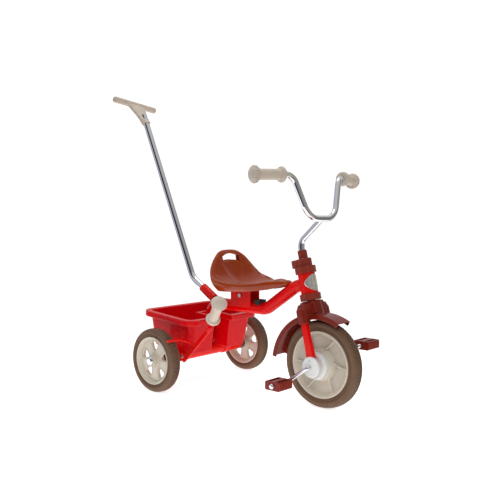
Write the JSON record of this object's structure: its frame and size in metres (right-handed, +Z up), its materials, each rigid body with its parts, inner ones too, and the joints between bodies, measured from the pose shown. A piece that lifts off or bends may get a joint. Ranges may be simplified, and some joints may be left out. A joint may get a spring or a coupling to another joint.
{
  "type": "children's tricycle",
  "caption": "Children's pedal tricycle with a rear carrying bucket, a parking brake lever and a removable push handle.",
  "frame": {"origin": "on the ground under the middle of the tricycle's length and width", "axes": "+X forward, +Y to the rider's left, +Z up"},
  "size_m": [0.989, 0.4892, 0.9632],
  "materials": {
    "frame_red_enamel": "gloss enamel",
    "fork_red_enamel": "gloss enamel",
    "bucket_red_plastic": "gloss",
    "lever_red_enamel": "gloss enamel",
    "seat_rust_plastic": "gloss",
    "maroon_plastic": "semi-gloss",
    "brown_rubber": "matt",
    "cream_plastic": "semi-gloss",
    "cream_grip": "satin",
    "white_plastic": "semi-gloss",
    "chrome": "polished chrome",
    "zinc_steel": "satin",
    "black_plastic": "satin",
    "black_rubber": "matt",
    "badge_plate": "satin"
  },
  "bodies": {
    "frame": {"head_tube": "frame_red_enamel", "main_tube": "frame_red_enamel", "rear_axle_housing": "frame_red_enamel", "axle_bush_right": "black_plastic", "axle_bush_left": "black_plastic", "rear_axle": "zinc_steel", "hub_caps": "chrome", "upper_head_cup": "maroon_plastic", "lower_head_cup": "maroon_plastic", "head_badge": "badge_plate", "seat_bracket": "frame_red_enamel", "bracket_cross_bolt": "zinc_steel", "seat": "seat_rust_plastic", "seat_screws": "zinc_steel", "seat_buffer": "black_rubber", "push_socket": "frame_red_enamel", "bucket": "bucket_red_plastic", "bucket_clips": "frame_red_enamel", "brake_bracket": "frame_red_enamel", "brake_pivot_bolt": "zinc_steel"},
    "steering": {"fork": "fork_red_enamel", "front_fender": "maroon_plastic", "steering_lock_nut": "maroon_plastic", "stem_collar": "maroon_plastic", "handlebar": "chrome", "handlebar_stem": "chrome", "grip_right": "cream_grip", "grip_left": "cream_grip", "hub_cover_right": "white_plastic", "hub_cover_left": "white_plastic", "hub_cover_screws": "zinc_steel"},
    "front_wheel_turning": {"front_wheel": "cream_plastic", "front_tyre": "brown_rubber", "crank_axle": "chrome", "pedal_caps": "chrome"},
    "pedal_right_turning": {"pedal_right": "maroon_plastic"},
    "pedal_left_turning": {"pedal_left": "maroon_plastic"},
    "rear_wheel_right_turning": {"rear_wheel_right": "cream_plastic", "rear_tyre_right": "brown_rubber"},
    "rear_wheel_left_turning": {"rear_wheel_left": "cream_plastic", "rear_tyre_left": "brown_rubber"},
    "parking_brake": {"brake_lever": "lever_red_enamel", "brake_rod": "lever_red_enamel", "brake_grip": "cream_grip"},
    "push_handle": {"push_tube_lower": "chrome", "push_tube_upper": "chrome", "push_grip": "cream_grip"},
    "handle_button": {"snap_button": "zinc_steel"}
  },
  "joints": [
    {"name": "steering_turn", "type": "hinge", "parent": "frame", "child": "steering", "pos_m": [0.3699, 0, 0.125], "axis": [-0.2334, 0, 0.9724], "range_deg": [-45, 45]},
    {"name": "front_wheel_spin", "type": "hinge", "parent": "steering", "child": "front_wheel_turning", "pos_m": [0.3699, 0, 0.125], "axis": [0, 1, 0], "continuous": true},
    {"name": "pedal_right_spin", "type": "hinge", "parent": "front_wheel_turning", "child": "pedal_right_turning", "pos_m": [0.29582, -0.108, 0.07389], "axis": [0, 1, 0], "continuous": true},
    {"name": "pedal_left_spin", "type": "hinge", "parent": "front_wheel_turning", "child": "pedal_left_turning", "pos_m": [0.44398, 0.108, 0.17611], "axis": [0, 1, 0], "continuous": true},
    {"name": "rear_wheel_right_spin", "type": "hinge", "parent": "frame", "child": "rear_wheel_right_turning", "pos_m": [-0.1171, -0.205, 0.0985], "axis": [0, 1, 0], "continuous": true},
    {"name": "rear_wheel_left_spin", "type": "hinge", "parent": "frame", "child": "rear_wheel_left_turning", "pos_m": [-0.1171, 0.205, 0.0985], "axis": [0, 1, 0], "continuous": true},
    {"name": "brake_swing", "type": "hinge", "parent": "frame", "child": "parking_brake", "pos_m": [-0.0731, -0.1335, 0.106], "axis": [0, 1, 0], "range_deg": [0, 20]},
    {"name": "push_handle_slide", "type": "slide", "parent": "frame", "child": "push_handle", "axis": [-0.8496, 0, 0.5274], "range_m": [0, 0.06]},
    {"name": "handle_button_press", "type": "slide", "parent": "push_handle", "child": "handle_button", "axis": [0.9129, 0, 0.4082], "range_m": [-0.003, 0], "stiffness_N_per_m": 1500, "springref_m": 0.001}
  ]
}
